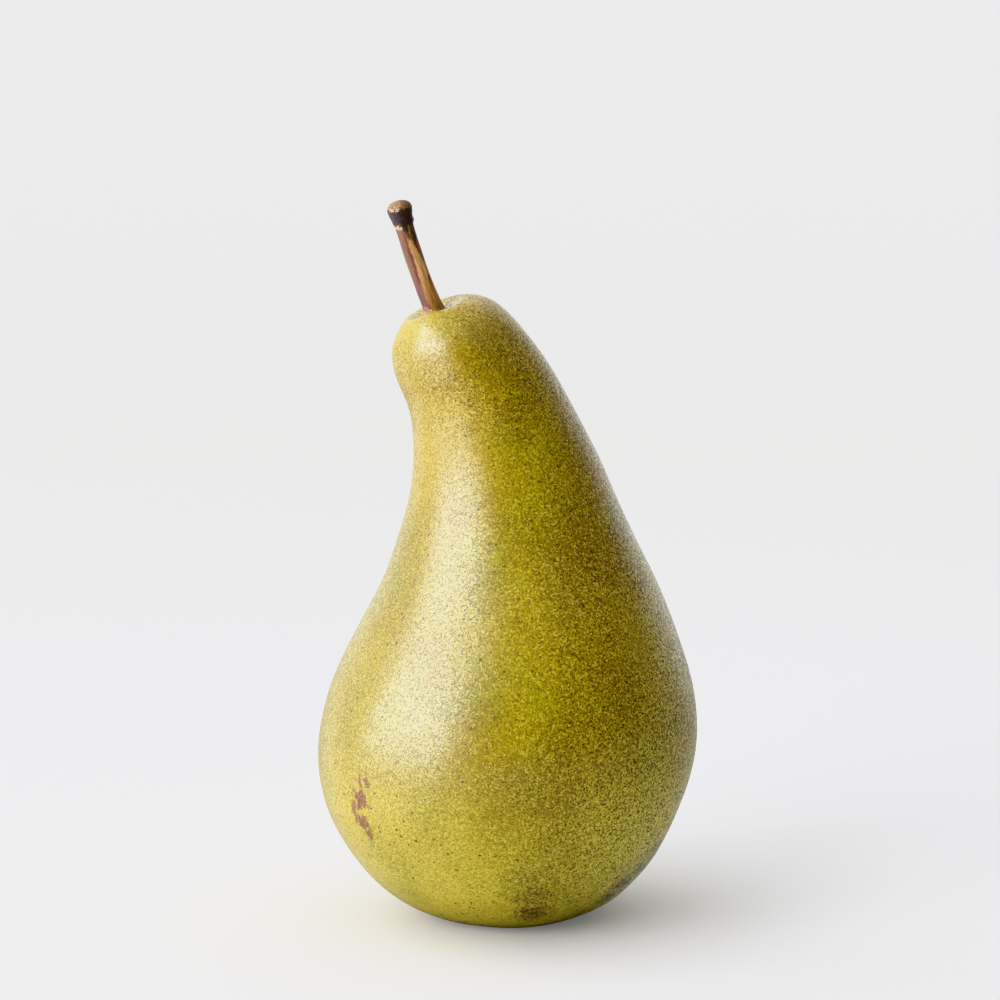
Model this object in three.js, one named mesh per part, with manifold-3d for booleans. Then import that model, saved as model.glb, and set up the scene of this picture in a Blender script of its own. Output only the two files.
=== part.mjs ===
// A fresh pear standing on its blossom end, with its woody stem and the dried calyx underneath.
// Millimetres, +Z up. The pear stands on z = 0, with the middle of its outline at the origin.
// Its neck leans towards -X, and a little towards -Y, the side that is seen from the front.
import * as THREE from "three";
import { mergeVertices } from "three/addons/utils/BufferGeometryUtils.js";
import Module from "manifold-3d";

const wasm = await Module();
wasm.setup();

// Driving dimensions
const BELLY_RADIUS = 34;
const FOOT_RADIUS = 12; // outer edge of the flat ring that the pear rests on
const BASIN_RADIUS = 6.2; // inner edge of that ring, where the hollow round the calyx begins
const BASIN_DEPTH = 5;
const HOLLOW_RADIUS = 5; // rim of the hollow round the stem
const STEM_RADIUS = 1.66;
const KNOB_RADIUS = 2.2;
const STEM_ROOT_RADIUS = 1.9;
const STEM_ROOT_DEPTH = 4; // how far the stem is rooted below the floor of its hollow
const CALYX_ROOT_RADIUS = 1.4;
const CALYX_ROOT_DEPTH = 2.5;
const CLEARANCE = 0.3; // between the fruit and what is rooted in it

// The neck leans towards -X, turned by this many degrees towards -Y.
const LEAN_TURN = 20;

// The fruit's cross sections, from the ring that it rests on, over the belly and the neck, and round the
// shoulder into the hollow that the stem stands in. The lean of a section is in degrees from upright.
const FRUIT_SECTIONS = [
  { radius: FOOT_RADIUS, middle: [0.2, 0, 0], lean: 0 },
  { radius: 14.6, middle: [0.2, 0, 0.7], lean: 0 },
  { radius: 19.5, middle: [0, 0, 3.2], lean: 0 },
  { radius: 23.9, middle: [-0.3, 0, 7], lean: 0 },
  { radius: 27.8, middle: [-0.6, 0, 12], lean: 0 },
  { radius: 31.4, middle: [-0.8, 0, 19], lean: 0 },
  { radius: 33.4, middle: [-0.4, 0, 25.5], lean: 0 },
  { radius: BELLY_RADIUS, middle: [0, 0, 32], lean: 0 },
  { radius: 33.1, middle: [0.6, 0, 39], lean: 0 },
  { radius: 31, middle: [1.2, 0, 45.8], lean: 0 },
  { radius: 28, middle: [1.8, 0, 53], lean: 0 },
  { radius: 24.3, middle: [2.1, 0, 60.8], lean: 0 },
  { radius: 20.7, middle: [1.5, -0.1, 69.2], lean: 1 },
  { radius: 17.6, middle: [0.3, -0.3, 78], lean: 4 },
  { radius: 15, middle: [-1.9, -0.9, 87], lean: 10 },
  { radius: 13.1, middle: [-4.7, -1.7, 95], lean: 16 },
  { radius: 12.1, middle: [-7.95, -2.5, 101], lean: 19 },
  { radius: 10.6, middle: [-10.3, -3.1, 105.5], lean: 21 },
  { radius: 8.6, middle: [-11.3, -3.5, 108], lean: 22 },
  { radius: HOLLOW_RADIUS + 1.4, middle: [-12.1, -3.8, 109.4], lean: 22 },
  { radius: HOLLOW_RADIUS, middle: [-12.5, -3.9, 109.5], lean: 23 },
  { radius: 3.6, middle: [-12.6, -3.9, 108.8], lean: 25 },
  { radius: STEM_ROOT_RADIUS + CLEARANCE, middle: [-12.4, -3.8, 107.9], lean: 28 },
];

// How far the fruit departs from round, as shares of its radius, with turns in radians.
const RIBS = 5;
const RIB_SHARE = 0.014;
const RIB_REACH = 16; // the height over which the ribs fade to about a third
const RIB_TURN = 0.6;
const FLAT_SHARE = 0.006;
const FLAT_TURN = 1.1;

// The stem above its root, as [radius, distance from the tip]: a slim shaft, a collar and a cut, domed knob.
const STEM_SIDE = [
  [STEM_ROOT_RADIUS - 0.05, 20.5],
  [STEM_RADIUS + 0.05, 18],
  [STEM_RADIUS - 0.04, 12.5],
  [STEM_RADIUS, 5.2],
  [STEM_RADIUS, 3.8],
  [STEM_RADIUS + 0.12, 2.6],
  [KNOB_RADIUS, 1.75],
  [KNOB_RADIUS - 0.05, 1.3],
  [KNOB_RADIUS * 0.72, 0.4],
  [KNOB_RADIUS * 0.3, 0.05],
];
const STEM_BEND = 9.7; // from the floor of the hollow up to the bend
const STEM_TOP = 12.3; // from the bend to the tip
const STEM_TIP_LEAN = 12;

// The calyx is a short root, a small cup, and five dried sepals that hang from it and curl outwards.
const CUP_RADIUS = 1.9;
const CUP_THICKNESS = 0.9;
const SEPALS = 5;
const SEPAL_TURN = 0.38; // of the first sepal from +X, in radians
const SEPAL_HALF_THICKNESS = 0.34;
// A sepal's middle line, as [distance from the calyx's axis, height above the surface it stands on].
const SEPAL_LINE = [
  [1.1, 4],
  [1.75, 3.2],
  [2, 2.2],
  [2.6, 1.2],
];
const SEPAL_HALF_WIDTHS = [0.9, 1.15, 1, 0.55, 0.3]; // at even steps from the cup to the tip

const FRUIT_SIDES = 48;
const RINGS_PER_SECTION = 3;
const BASIN_RINGS = 7;
const STEM_SIDES = 16;
const STEM_RINGS_PER_STATION = 2;
const CUP_SIDES = 20;
const SEPAL_SIDES = 10;
const SEPAL_RINGS = 8;

const point3 = ([x, y, z]) => new THREE.Vector3(x, y, z);

// Upright, leaned by this many degrees the way the neck leans.
function leaned(degrees) {
  const turn = THREE.MathUtils.degToRad(LEAN_TURN);
  const hinge = new THREE.Vector3(Math.sin(turn), -Math.cos(turn), 0);
  return new THREE.Vector3(0, 0, 1).applyAxisAngle(hinge, THREE.MathUtils.degToRad(degrees));
}

const ringAt = (middle, radius, ahead) => ({ middle, radius, ahead });

// A closed skin over rings, each with a middle, a radius and the way that it faces. The first and the last
// have no radius. widen gives a ring its shape, as a factor on its radius at each angle.
function skin(rings, sides, widen = () => 1) {
  const positions = [];
  const faces = [];
  const open = rings.slice(1, -1);
  for (const ring of open) {
    const across = new THREE.Vector3(0, 1, 0).cross(ring.ahead).normalize();
    const back = ring.ahead.clone().cross(across);
    for (let side = 0; side < sides; side++) {
      const angle = (2 * Math.PI * side) / sides;
      const reach = ring.radius * widen(angle, ring);
      const corner = ring.middle
        .clone()
        .addScaledVector(across, reach * Math.cos(angle))
        .addScaledVector(back, reach * Math.sin(angle));
      positions.push(...corner);
    }
  }
  const start = open.length * sides;
  const end = start + 1;
  positions.push(...rings[0].middle, ...rings.at(-1).middle);
  for (let side = 0; side < sides; side++) {
    const next = (side + 1) % sides;
    faces.push(start, next, side);
    for (let above = sides; above < start; above += sides) {
      const below = above - sides;
      faces.push(below + side, below + next, above + next);
      faces.push(below + side, above + next, above + side);
    }
    faces.push(start - sides + side, start - sides + next, end);
  }
  const geometry = new THREE.BufferGeometry();
  geometry.setAttribute("position", new THREE.Float32BufferAttribute(positions, 3));
  geometry.setIndex(faces);
  return geometry;
}

// A smooth curve through stations, sampled with the same number of steps between each two.
function smooth(stations, stepsPerStation) {
  const curve = new THREE.CatmullRomCurve3(stations.map(point3), false, "catmullrom");
  return curve.getPoints((stations.length - 1) * stepsPerStation);
}

// From the root of the calyx, down the bell-shaped hollow round it, to the ring that the pear rests on.
function basinRings() {
  const up = leaned(0);
  const [x, y] = FRUIT_SECTIONS[0].middle;
  const rootRadius = CALYX_ROOT_RADIUS + CLEARANCE;
  const rootTop = new THREE.Vector3(x, y, BASIN_DEPTH + CALYX_ROOT_DEPTH);
  const bell = Array.from({ length: BASIN_RINGS + 1 }, (_, ring) => {
    const share = ring / BASIN_RINGS;
    const height = (BASIN_DEPTH * (1 + Math.cos(Math.PI * share))) / 2;
    const radius = THREE.MathUtils.lerp(rootRadius, BASIN_RADIUS, share);
    return ringAt(new THREE.Vector3(x, y, height), radius, up);
  });
  return [ringAt(rootTop, 0, up), ringAt(rootTop, rootRadius, up), ...bell];
}

function sectionRings() {
  const middles = smooth(FRUIT_SECTIONS.map((section) => section.middle), RINGS_PER_SECTION);
  const sizes = smooth(FRUIT_SECTIONS.map(({ radius, lean }) => [radius, lean, 0]), RINGS_PER_SECTION);
  return middles.map((middle, ring) => ringAt(middle, sizes[ring].x, leaned(sizes[ring].y)));
}

// The floor of the hole that the stem is rooted in.
const hollowFloor = sectionRings().at(-1);
const stemHoleFloor = hollowFloor.middle.clone().addScaledVector(hollowFloor.ahead, -STEM_ROOT_DEPTH);

// A grown fruit isn't quite round: it is a little flattened, and low ribs run out of the blossom end.
function fruitRoundness(angle, ring) {
  const rib = RIB_SHARE * Math.exp(-ring.middle.z / RIB_REACH) * Math.cos(RIBS * angle + RIB_TURN);
  const flattening = FLAT_SHARE * Math.cos(2 * angle - FLAT_TURN);
  return 1 + rib + flattening;
}

function makeFruit() {
  const rings = [
    ...basinRings(),
    ...sectionRings(),
    ringAt(stemHoleFloor, hollowFloor.radius, hollowFloor.ahead),
    ringAt(stemHoleFloor, 0, hollowFloor.ahead),
  ];
  const material = new THREE.MeshStandardMaterial({ color: 0x9c8a24, roughness: 0.45, metalness: 0 });
  const fruit = new THREE.Mesh(skin(rings, FRUIT_SIDES, fruitRoundness), material);
  fruit.name = "fruit";
  return fruit;
}

// The stem leaves its hole along the fruit's core and straightens up towards its tip.
function stemSpine() {
  const root = stemHoleFloor.clone().addScaledVector(hollowFloor.ahead, CLEARANCE);
  const bend = hollowFloor.middle.clone().addScaledVector(hollowFloor.ahead, STEM_BEND);
  const tip = bend.clone().addScaledVector(leaned(STEM_TIP_LEAN), STEM_TOP);
  return new THREE.QuadraticBezierCurve3(root, bend, tip);
}

function makeStem() {
  const spine = stemSpine();
  const length = spine.getLength();
  const side = STEM_SIDE.map(([radius, fromTip]) => [radius, length - fromTip, 0]);
  const stations = [
    [STEM_ROOT_RADIUS - 0.5, 0, 0],
    [STEM_ROOT_RADIUS, 0.6, 0],
    [STEM_ROOT_RADIUS, STEM_ROOT_DEPTH - CLEARANCE, 0],
    ...side,
  ];
  const outline = [new THREE.Vector3(0, 0, 0), ...smooth(stations, STEM_RINGS_PER_STATION)];
  outline.push(new THREE.Vector3(0, length, 0));
  const rings = outline.map(({ x: radius, y: distance }) => {
    const share = THREE.MathUtils.clamp(distance / length, 0, 1);
    return ringAt(spine.getPointAt(share), radius, spine.getTangentAt(share));
  });
  const material = new THREE.MeshStandardMaterial({ color: 0x8a5a30, roughness: 0.4, metalness: 0 });
  const stem = new THREE.Mesh(skin(rings, STEM_SIDES), material);
  stem.name = "stem";
  return stem;
}

// The middle of a sepal's line lies in the plane y = 0, and its width is across that plane.
function sepalGeometry() {
  const line = new THREE.SplineCurve(SEPAL_LINE.map(([out, up]) => new THREE.Vector2(out, up)));
  const widths = new THREE.SplineCurve(
    SEPAL_HALF_WIDTHS.map((halfWidth, step) => new THREE.Vector2(halfWidth, step)),
  );
  const rings = Array.from({ length: SEPAL_RINGS + 1 }, (_, ring) => {
    const share = ring / SEPAL_RINGS;
    const { x, y } = line.getPoint(share);
    const tangent = line.getTangent(share);
    const ahead = new THREE.Vector3(tangent.x, 0, tangent.y);
    return ringAt(new THREE.Vector3(x, 0, y), widths.getPoint(share).x, ahead);
  });
  const flat = (angle, ring) => {
    const squeeze = ring.radius / SEPAL_HALF_THICKNESS;
    return 1 / Math.hypot(Math.sin(angle), Math.cos(angle) * squeeze);
  };
  const [start, end] = [rings[0], rings.at(-1)].map(({ middle, ahead }) => ringAt(middle, 0, ahead));
  return skin([start, ...rings, end], SEPAL_SIDES, flat);
}

function toSolid(geometry) {
  const merged = mergeVertices(geometry);
  const vertProperties = new Float32Array(merged.attributes.position.array);
  const triVerts = new Uint32Array(merged.index.array);
  return new wasm.Manifold(new wasm.Mesh({ numProp: 3, vertProperties, triVerts }));
}

function toGeometry(solid) {
  const { vertProperties, triVerts } = solid.getMesh();
  const geometry = new THREE.BufferGeometry();
  geometry.setAttribute("position", new THREE.BufferAttribute(vertProperties, 3));
  geometry.setIndex(new THREE.BufferAttribute(triVerts, 1));
  return geometry;
}

function makeCalyx() {
  const rootTop = BASIN_DEPTH + CALYX_ROOT_DEPTH - CLEARANCE;
  const cupTop = BASIN_DEPTH - CLEARANCE;
  const profile = [
    [0, cupTop - CUP_THICKNESS],
    [CUP_RADIUS * 0.5, cupTop - CUP_THICKNESS * 0.8],
    [CUP_RADIUS * 0.9, cupTop - CUP_THICKNESS * 1.2],
    [CUP_RADIUS, cupTop - CUP_THICKNESS],
    [CUP_RADIUS * 0.9, cupTop - CUP_THICKNESS * 0.4],
    [CALYX_ROOT_RADIUS, cupTop],
    [CALYX_ROOT_RADIUS, rootTop],
    [0, rootTop],
  ];
  const cup = new THREE.LatheGeometry(profile.map(([x, y]) => new THREE.Vector2(x, y)), CUP_SIDES);
  cup.rotateX(Math.PI / 2);
  cup.deleteAttribute("normal");
  cup.deleteAttribute("uv");
  let solid = toSolid(cup);
  for (let sepal = 0; sepal < SEPALS; sepal++) {
    const blade = sepalGeometry().rotateZ((2 * Math.PI * sepal) / SEPALS + SEPAL_TURN);
    solid = solid.add(toSolid(blade));
  }
  const [x, y] = FRUIT_SECTIONS[0].middle;
  const material = new THREE.MeshStandardMaterial({ color: 0x4a3526, roughness: 0.9, metalness: 0 });
  const calyx = new THREE.Mesh(toGeometry(solid).translate(x, y, 0), material);
  calyx.name = "calyx";
  return calyx;
}

const pear = new THREE.Group();
pear.add(makeFruit(), makeStem(), makeCalyx());

// Centres the outline on the origin.
const middle = new THREE.Box3().setFromObject(pear).getCenter(new THREE.Vector3());
pear.children.forEach((piece) => piece.position.set(-middle.x, -middle.y, 0));

export default pear;
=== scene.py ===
import math
import random

import bmesh
import bpy
from mathutils import Matrix, Vector, noise


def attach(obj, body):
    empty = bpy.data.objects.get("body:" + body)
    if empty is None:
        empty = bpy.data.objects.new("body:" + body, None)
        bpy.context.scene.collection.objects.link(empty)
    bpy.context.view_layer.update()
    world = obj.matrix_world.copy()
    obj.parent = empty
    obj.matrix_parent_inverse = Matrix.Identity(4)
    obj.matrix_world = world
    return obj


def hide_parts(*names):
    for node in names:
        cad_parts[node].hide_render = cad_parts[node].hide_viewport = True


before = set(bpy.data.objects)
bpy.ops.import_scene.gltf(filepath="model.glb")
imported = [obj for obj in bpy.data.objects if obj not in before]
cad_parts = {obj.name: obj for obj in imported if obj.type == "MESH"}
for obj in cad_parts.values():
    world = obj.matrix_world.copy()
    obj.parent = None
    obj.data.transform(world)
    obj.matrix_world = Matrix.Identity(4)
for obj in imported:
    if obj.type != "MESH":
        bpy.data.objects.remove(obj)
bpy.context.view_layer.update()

mm = 0.001


# Small helpers

def tint(code):
    # a screen colour such as "aa9812", as the linear numbers that a socket takes
    parts = [int(code[i:i + 2], 16) / 255 for i in (0, 2, 4)]
    linear = [p / 12.92 if p <= 0.04045 else ((p + 0.055) / 1.055) ** 2.4 for p in parts]
    return (*linear, 1.0)


def clearSelection():
    if bpy.context.mode != "OBJECT":
        bpy.ops.object.mode_set(mode="OBJECT")
    bpy.ops.object.select_all(action="DESELECT")


def pick(piece):
    clearSelection()
    piece.select_set(True)
    bpy.context.view_layer.objects.active = piece


def addModifier(piece, kind, **settings):
    # adds a modifier with these settings and applies it
    pick(piece)
    bpy.ops.object.modifier_add(type=kind)
    modifier = piece.modifiers[-1]
    for name, value in settings.items():
        setattr(modifier, name, value)
    bpy.ops.object.modifier_apply(modifier=modifier.name)


def smoothStep(low, high, value):
    share = min(1.0, max(0.0, (value - low) / (high - low)))
    return share * share * (3 - 2 * share)


def addNode(tree, kind, inputs=None, **settings):
    made = tree.nodes.new("ShaderNode" + kind)
    for name, value in settings.items():
        setattr(made, name, value)
    for name, value in (inputs or {}).items():
        if isinstance(value, bpy.types.NodeSocket):
            tree.links.new(value, made.inputs[name])
        else:
            made.inputs[name].default_value = value
    return made


def calc(tree, operation, first, second=0.0, clamp=False):
    made = addNode(tree, "Math", {0: first, 1: second}, operation=operation, use_clamp=clamp)
    return made.outputs[0]


def remap(tree, value, low, high, toLow=0.0, toHigh=1.0):
    inputs = {"Value": value, "From Min": low, "From Max": high, "To Min": toLow, "To Max": toHigh}
    return addNode(tree, "MapRange", inputs, interpolation_type="SMOOTHSTEP").outputs[0]


def mixColours(tree, share, first, second, blend="MIX"):
    # in the colour mode of a Mix node, 6 and 7 are the two colours and output 2 is the result
    inputs = {0: share, 6: first, 7: second}
    return addNode(tree, "Mix", inputs, data_type="RGBA", blend_type=blend).outputs[2]


def placeGroup(tree, group, inputs):
    made = tree.nodes.new("ShaderNodeGroup")
    made.node_tree = group
    for name, value in inputs.items():
        if isinstance(value, bpy.types.NodeSocket):
            tree.links.new(value, made.inputs[name])
        else:
            made.inputs[name].default_value = value
    return made.outputs[0]


def newGroup(name, inputs, output):
    # a shader node group with these input sockets and one output
    group = bpy.data.node_groups.new(name, "ShaderNodeTree")
    for label, (kind, value) in inputs.items():
        socket = group.interface.new_socket(name=label, in_out="INPUT", socket_type="NodeSocket" + kind)
        if value is not None:
            socket.default_value = value
    group.interface.new_socket(name=output, in_out="OUTPUT", socket_type="NodeSocketFloat")
    return group, group.nodes.new("NodeGroupInput").outputs, group.nodes.new("NodeGroupOutput").inputs[0]


def newMaterial(name):
    material = bpy.data.materials.new(name)
    material.use_nodes = True
    tree = material.node_tree
    return material, tree, tree.nodes["Principled BSDF"]


# The photo's view: a long lens about 0.6 m away, looking a little down

cameraSetup = {
    "place": (-1.3 * mm, -586.4 * mm, 162.6 * mm),
    "lookDown": 8.5,
    "lens": 120,
    "sensor": 36,
    "nearest": 0.02,
    "farthest": 30,
}


def makeCamera(setup):
    turn = (math.radians(90 - setup["lookDown"]), 0, 0)
    bpy.ops.object.camera_add(location=setup["place"], rotation=turn)
    camera = bpy.context.object
    camera.name = "photoCamera"
    camera.data.lens = setup["lens"]
    camera.data.sensor_width = setup["sensor"]
    camera.data.clip_start = setup["nearest"]
    camera.data.clip_end = setup["farthest"]
    bpy.context.scene.camera = camera


makeCamera(cameraSetup)
print("camera placed")


# The room: a pale table whose far edge stands behind the pear, a pale wall of light beyond it, and a window

roomSetup = {
    "tableFar": 0.565,
    "tableNear": -2.6,
    "tableHalfWidth": 2.6,
    "tableDrop": 0.02 * mm,
    "tableColour": "d7d7da",
    "tableFarColour": "d0d0d1",
    "tableFade": (0.15, 0.5),           # how far out its colour begins to change, and has changed
    "tableLift": 0.16,
    "tableForLight": "e2e1df",
    "tableInShine": "747473",
    "tableRoughness": (0.85, 0.35),     # as it is, and in the skin's shine
    "tableSpecular": (0.15, 1.0),
    "glare": (0.22, 1.3),               # of the table in the shine: away from the window, and towards it
    "glareWay": (60, 0),
    "glareTurn": (0.0, 0.12),           # how far towards the window it begins to brighten, and is bright
    "glareBegins": (0.012, 0.035),      # how far out from under the pear it begins, and is full
    "wallLow": "f2f2f1",
    "wallHigh": "f8f8f9",
    "wallRise": (-0.16, 0.02),          # the heights of the two, as the upward part of a way
    "darkest": 0.07,
    # the bright sides of the room: way, how far along it the light begins and is full, how bright it is
    # in the skin's shine, and what share of that lights the table and the pear
    "glows": (
        ((100, 18), 0.35, 1.0, 0.9, 1.8),   # the wall beside the window
        ((180, 0), 0.15, 0.9, 0.95, 0.45),  # the wall behind the pear
        ((-135, 5), 0.5, 1.0, 0.15, 2.5),   # the far corner on the right
        ((0, 90), 0.45, 1.0, 1.1, 1.0),     # the ceiling
    ),
}

# a way is an azimuth from the camera's side round to the left, then a height, in degrees
windowLight = {
    "way": (49, 15), "distance": 3.0, "width": 2.2, "tall": 2.1, "watts": 83, "colour": (1.0, 0.99, 0.97),
}
windowShine = {
    "way": (64, 22), "distance": 2.9, "width": 3.02, "tall": 2.08, "watts": 181, "colour": (0.69, 0.77, 1.0),
}


def wayTo(azimuth, height):
    # a way out of the pear, for an azimuth from the camera's side round to the left, and a height
    side, level = math.radians(azimuth), math.cos(math.radians(height))
    return Vector((-math.sin(side) * level, -math.cos(side) * level, math.sin(math.radians(height))))


def makeTable(setup):
    clearSelection()
    middle = (setup["tableFar"] + setup["tableNear"]) / 2
    bpy.ops.mesh.primitive_plane_add(size=1, location=(0, middle, -setup["tableDrop"]))
    table = bpy.context.object
    table.name = "paleTable"
    depth = setup["tableFar"] - setup["tableNear"]
    bpy.ops.transform.resize(value=(2 * setup["tableHalfWidth"], depth, 1))
    bpy.ops.object.transform_apply(location=True, scale=True)
    material, tree, shader = newMaterial("tablePaint")
    # in the skin's shine the table is a darker, glossier one, which passes the window's light on,
    # and the camera sees its shadow lifted, as the bright room in the photo does
    path = addNode(tree, "LightPath").outputs
    shine = path["Is Glossy Ray"]
    place = addNode(tree, "NewGeometry").outputs["Position"]
    away = addNode(tree, "VectorMath", {0: place}, operation="LENGTH").outputs["Value"]
    fade = remap(tree, away, *setup["tableFade"])
    seen = mixColours(tree, fade, tint(setup["tableColour"]), tint(setup["tableFarColour"]))
    colour = mixColours(tree, shine, tint(setup["tableForLight"]), tint(setup["tableInShine"]))
    tree.links.new(mixColours(tree, path["Is Camera Ray"], colour, seen), shader.inputs["Base Color"])
    towards = addNode(tree, "VectorMath", {0: place, 1: wayTo(*setup["glareWay"])}, operation="DOT_PRODUCT")
    glare = remap(tree, towards.outputs["Value"], *setup["glareTurn"], *setup["glare"])
    glare = calc(tree, "MULTIPLY", glare, shine)
    glare = calc(tree, "MULTIPLY", glare, remap(tree, away, *setup["glareBegins"]))
    lift = calc(tree, "MULTIPLY", path["Is Camera Ray"], setup["tableLift"])
    tree.links.new(calc(tree, "ADD", lift, glare), shader.inputs["Emission Strength"])
    shader.inputs["Emission Color"].default_value = (1, 1, 1, 1)
    tree.links.new(remap(tree, shine, 0.0, 1.0, *setup["tableRoughness"]), shader.inputs["Roughness"])
    tree.links.new(remap(tree, shine, 0.0, 1.0, *setup["tableSpecular"]), shader.inputs["Specular IOR Level"])
    table.data.materials.append(material)


def makeRoomLight(setup):
    # what lights the pear is brighter on some sides; what the camera sees is a plain pale wall
    world = bpy.data.worlds.new("paleRoom")
    bpy.context.scene.world = world
    world.use_nodes = True
    tree = world.node_tree
    tree.nodes.clear()
    way = addNode(tree, "TexCoord").outputs["Generated"]
    path = addNode(tree, "LightPath").outputs
    level = setup["darkest"]
    for brightWay, begins, full, brightness, share in setup["glows"]:
        towards = addNode(tree, "VectorMath", {0: way, 1: wayTo(*brightWay)}, operation="DOT_PRODUCT")
        glow = remap(tree, towards.outputs["Value"], begins, full, 0.0, brightness)
        glow = calc(tree, "MULTIPLY", glow, remap(tree, path["Is Glossy Ray"], 0.0, 1.0, share, 1.0))
        level = calc(tree, "ADD", glow, level)
    lighting = addNode(tree, "Background", {"Strength": level})
    lighting.inputs["Color"].default_value = (1, 1, 1, 1)
    height = addNode(tree, "SeparateXYZ", {0: way}).outputs[2]
    wallShare = remap(tree, height, *setup["wallRise"])
    wallColour = mixColours(tree, wallShare, tint(setup["wallLow"]), tint(setup["wallHigh"]))
    wall = addNode(tree, "Background", {"Color": wallColour})
    both = addNode(tree, "MixShader", {0: path["Is Camera Ray"], 1: lighting.outputs[0], 2: wall.outputs[0]})
    addNode(tree, "OutputWorld", {"Surface": both.outputs[0]})


def makeWindow(setup, name):
    way = wayTo(*setup["way"])
    pearMiddle = Vector((0, 0, 60 * mm))
    bpy.ops.object.light_add(type="AREA", location=pearMiddle + way * setup["distance"])
    light = bpy.context.object
    light.name = name
    light.rotation_euler = way.to_track_quat("Z", "Y").to_euler()
    light.data.shape = "RECTANGLE"
    light.data.size = setup["width"]
    light.data.size_y = setup["tall"]
    light.data.energy = setup["watts"]
    light.data.color = setup["colour"]
    light.visible_camera = False
    return light


makeTable(roomSetup)
makeRoomLight(roomSetup)
makeWindow(windowLight, "windowLight").visible_glossy = False    # lights the pear and the table
makeWindow(windowShine, "windowShine").visible_diffuse = False   # shines in the waxy skin
bpy.context.scene.view_settings.view_transform = "Khronos PBR Neutral"
print("room and light made")


# Shader groups that several materials use

def makeSpots():
    # round spots, one at most for each cell of a Voronoi pattern
    inputs = {
        "Vector": ("Vector", None),
        "Per Metre": ("Float", 1000.0),
        "Share": ("Float", 0.3),
        "Radius": ("Float", 0.25),
        "Blur": ("Float", 0.4),
    }
    group, given, result = newGroup("spots", inputs, "Mask")
    cells = addNode(group, "TexVoronoi", {"Vector": given["Vector"], "Scale": given["Per Metre"]})
    chance = addNode(group, "SeparateColor", {0: cells.outputs["Color"]})
    present = calc(group, "LESS_THAN", chance.outputs[0], given["Share"])
    size = calc(group, "MULTIPLY", given["Radius"], calc(group, "ADD", chance.outputs[1], 0.45))
    inner = calc(group, "MULTIPLY", size, calc(group, "SUBTRACT", 1.0, given["Blur"]))
    spot = remap(group, cells.outputs["Distance"], size, inner)
    group.links.new(calc(group, "MULTIPLY", spot, present), result)
    return group


def makeMottle():
    # soft noise, stretched to run from 0 to 1
    inputs = {
        "Vector": ("Vector", None),
        "Per Metre": ("Float", 100.0),
        "Detail": ("Float", 2.0),
        "Low": ("Float", 0.35),
        "High": ("Float", 0.65),
    }
    group, given, result = newGroup("mottle", inputs, "Value")
    field = addNode(group, "TexNoise", {
        "Vector": given["Vector"], "Scale": given["Per Metre"], "Detail": given["Detail"],
    })
    group.links.new(remap(group, field.outputs[0], given["Low"], given["High"]), result)
    return group


def makePatch():
    # one patch round a place on the surface, with a ragged edge
    inputs = {
        "Vector": ("Vector", None),
        "Centre": ("Vector", (0.0, 0.0, 0.0)),
        "Size": ("Vector", (0.005, 0.005, 0.005)),
        "Edge": ("Float", 0.4),
        "Ragged": ("Float", 0.3),
        "Ragged Per Metre": ("Float", 500.0),
    }
    group, given, result = newGroup("patch", inputs, "Mask")
    offset = addNode(group, "VectorMath", {0: given["Vector"], 1: given["Centre"]}, operation="SUBTRACT")
    scaled = addNode(group, "VectorMath", {0: offset.outputs[0], 1: given["Size"]}, operation="DIVIDE")
    reach = addNode(group, "VectorMath", {0: scaled.outputs[0]}, operation="LENGTH").outputs["Value"]
    stretched = addNode(group, "VectorMath", {0: given["Vector"], 1: (1.0, 1.0, 0.5)}, operation="MULTIPLY")
    field = addNode(group, "TexNoise", {
        "Vector": stretched.outputs[0], "Scale": given["Ragged Per Metre"], "Detail": 3.0,
    })
    shift = calc(group, "MULTIPLY", calc(group, "SUBTRACT", field.outputs[0], 0.5), given["Ragged"])
    distance = calc(group, "ADD", reach, calc(group, "MULTIPLY", shift, 4.0))
    inner = calc(group, "SUBTRACT", 1.0, given["Edge"])
    group.links.new(remap(group, distance, 1.0, inner), result)
    return group


spots = makeSpots()
mottle = makeMottle()
patch = makePatch()


def spotted(tree, where, pattern):
    # spots with these values: how many per metre, the share that is there, radius and blur
    names = ("Per Metre", "Share", "Radius", "Blur")
    return placeGroup(tree, spots, {"Vector": where, **dict(zip(names, pattern))})


def mottled(tree, where, pattern):
    # noise with these values: how many per metre, its detail, and the levels that become 0 and 1
    names = ("Per Metre", "Detail", "Low", "High")
    return placeGroup(tree, mottle, {"Vector": where, **dict(zip(names, pattern))})


# The fruit

fruitShape = {
    "weld": 0.01 * mm,
    "subdivisions": 2,
    "dentSize": 17 * mm,
    "dentHeight": 0.55 * mm,
    "footKeep": (1.5 * mm, 9 * mm),     # the foot stays flat, and the dents fade in above it
    "topKeep": (98 * mm, 106 * mm),     # they fade out again below the hollow
    # the front of the head: places in mm, and turns in degrees from the camera's side round to the left
    "head": {
        "height": 0.5 * mm,
        "middle": (-7.97, -2.46, 101),
        "lean": (-0.32, -0.117),        # how far its middle moves for each mm up
        "bottom": (86, 96),
        "top": (103, 108),
        "right": (-85, -35),
        "left": (62, 88),
        "most": -10,                    # where it stands out most
        "leastAfter": 70,               # and how much further round it is lowest
    },
    "lip": {"place": (-13.5, -8.0), "width": 3.2, "height": 0.7 * mm, "above": (103, 106.5)},
}

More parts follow.
